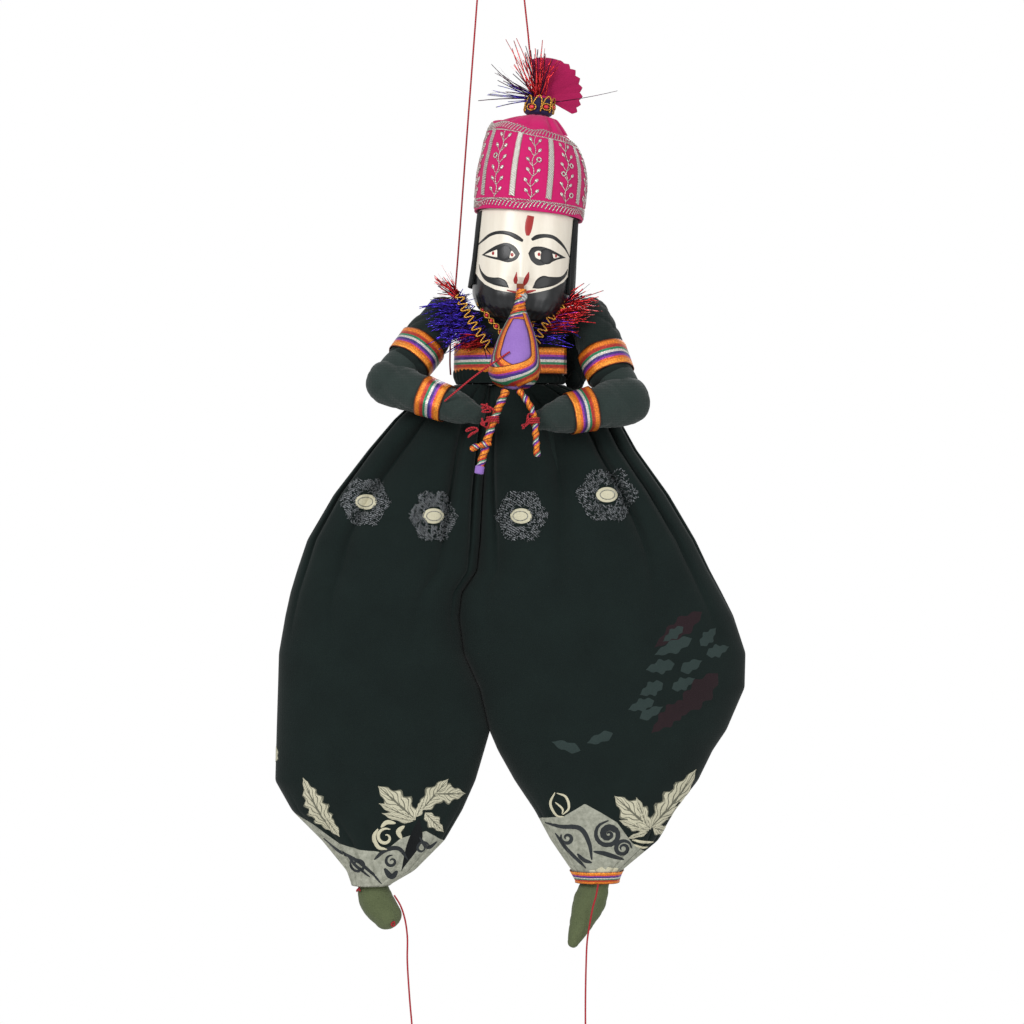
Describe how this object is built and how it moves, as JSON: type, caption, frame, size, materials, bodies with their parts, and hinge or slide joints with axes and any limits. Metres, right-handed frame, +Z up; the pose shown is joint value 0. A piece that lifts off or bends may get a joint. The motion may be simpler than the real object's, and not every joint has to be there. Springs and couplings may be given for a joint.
{
  "type": "marionette puppet",
  "caption": "String puppet with a carved painted head, turban, stuffed arms and legs, wide gathered trousers and a gourd pipe, hung from finger loops",
  "frame": {"origin": "inside top of the head string's finger loop, from which the puppet hangs", "axes": "+Z up, -Y towards the puppet's front, +X towards the puppet's own left"},
  "size_m": [0.3245, 0.111, 0.7664],
  "materials": {
    "painted_wood": "painted, varnished",
    "dark_cloth": "matt",
    "arm_cloth": "matt",
    "foot_cloth": "matt",
    "hair_cloth": "matt",
    "pink_cloth": "satin with silver embroidery",
    "woven_ribbon": "metallic stripes",
    "gold_trim": "bright thread",
    "tinsel_foil": "foil",
    "gourd_cloth": "matt",
    "tack_steel": "bright",
    "cotton_string": "matt"
  },
  "bodies": {
    "bust": {"carved_head": "painted_wood", "turban_band": "pink_cloth", "turban_crown": "pink_cloth", "tuft_binding": "gold_trim", "turban_fan": "pink_cloth", "tuft_tinsel": "tinsel_foil", "hair_hood": "hair_cloth", "bodice": "dark_cloth", "chest_ribbon": "woven_ribbon", "waist_tie": "dark_cloth", "bead_chain_right": "gold_trim", "braid_right": "gold_trim", "garland_right": "tinsel_foil", "bead_chain_left": "gold_trim", "braid_left": "gold_trim", "garland_left": "tinsel_foil", "mouth_tab": "woven_ribbon", "mouth_tack": "tack_steel", "head_string": "cotton_string", "head_knot": "cotton_string", "head_loop": "cotton_string", "back_string": "cotton_string", "back_knot": "cotton_string", "back_loop": "cotton_string"},
    "pungi": {"pungi_neck": "woven_ribbon", "gourd": "gourd_cloth", "gourd_ribbon": "woven_ribbon", "pipe_right": "woven_ribbon", "pipe_left": "woven_ribbon", "pipe_twig": "woven_ribbon", "hand_tie_right": "cotton_string", "hand_tie_left": "cotton_string", "hand_thread": "cotton_string"},
    "upper_arm_left": {"upper_arm_left": "dark_cloth", "arm_band_left": "woven_ribbon"},
    "forearm_left": {"forearm_left": "arm_cloth", "wrist_band_left": "woven_ribbon"},
    "leg_left": {"leg_left": "foot_cloth", "trouser_left": "dark_cloth", "ankle_band_left": "woven_ribbon"},
    "foot_left": {"foot_left": "foot_cloth", "foot_string_left": "cotton_string", "foot_coil_left": "cotton_string"},
    "upper_arm_right": {"upper_arm_right": "dark_cloth", "arm_band_right": "woven_ribbon"},
    "forearm_right": {"forearm_right": "arm_cloth", "wrist_band_right": "woven_ribbon"},
    "leg_right": {"leg_right": "foot_cloth", "trouser_right": "dark_cloth"},
    "foot_right": {"foot_right": "foot_cloth", "foot_string_right": "cotton_string", "foot_coil_right": "cotton_string"}
  },
  "joints": [
    {"name": "shoulder_left", "type": "hinge", "parent": "bust", "child": "upper_arm_left", "pos_m": [0.045, 0, -0.2512], "axis": [-1, 0, 0], "range_deg": [0, 30]},
    {"name": "shoulder_right", "type": "hinge", "parent": "bust", "child": "upper_arm_right", "pos_m": [-0.0545, 0, -0.2512], "axis": [-1, 0, 0], "range_deg": [0, 30]},
    {"name": "elbow_left", "type": "hinge", "parent": "upper_arm_left", "child": "forearm_left", "pos_m": [0.0705, -0.028, -0.3112], "axis": [0.1648, -0.8651, 0.4737], "range_deg": [0, 12]},
    {"name": "elbow_right", "type": "hinge", "parent": "upper_arm_right", "child": "forearm_right", "pos_m": [-0.0935, -0.026, -0.2987], "axis": [0.0817, 0.8445, -0.5293], "range_deg": [0, 13.5], "deforming": ["hand_thread"]},
    {"name": "pungi_lift", "type": "hinge", "parent": "bust", "child": "pungi", "pos_m": [-0.0025, -0.043, -0.2422], "axis": [-1, 0, 0], "range_deg": [0, 30]},
    {"name": "hip_left", "type": "hinge", "parent": "bust", "child": "leg_left", "pos_m": [0.0165, 0, -0.3152], "axis": [-1, 0, 0], "range_deg": [-30, 30], "deforming": ["trouser_left"]},
    {"name": "hip_right", "type": "hinge", "parent": "bust", "child": "leg_right", "pos_m": [-0.0415, 0, -0.3152], "axis": [-1, 0, 0], "range_deg": [-30, 30], "deforming": ["trouser_right"]},
    {"name": "ankle_left", "type": "hinge", "parent": "leg_left", "child": "foot_left", "pos_m": [0.0518, 0, -0.6372], "axis": [-1, 0, 0], "range_deg": [-12, 10]},
    {"name": "ankle_right", "type": "hinge", "parent": "leg_right", "child": "foot_right", "pos_m": [-0.106, 0, -0.6372], "axis": [-1, 0, 0], "range_deg": [-12, 10]}
  ],
  "couplings": [
    {"joint": "shoulder_right", "follows": "shoulder_left", "ratio": 1},
    {"joint": "pungi_lift", "follows": "shoulder_left", "ratio": 1},
    {"joint": "elbow_left", "follows": "shoulder_left", "ratio": 0.4},
    {"joint": "elbow_right", "follows": "shoulder_left", "ratio": 0.45}
  ]
}
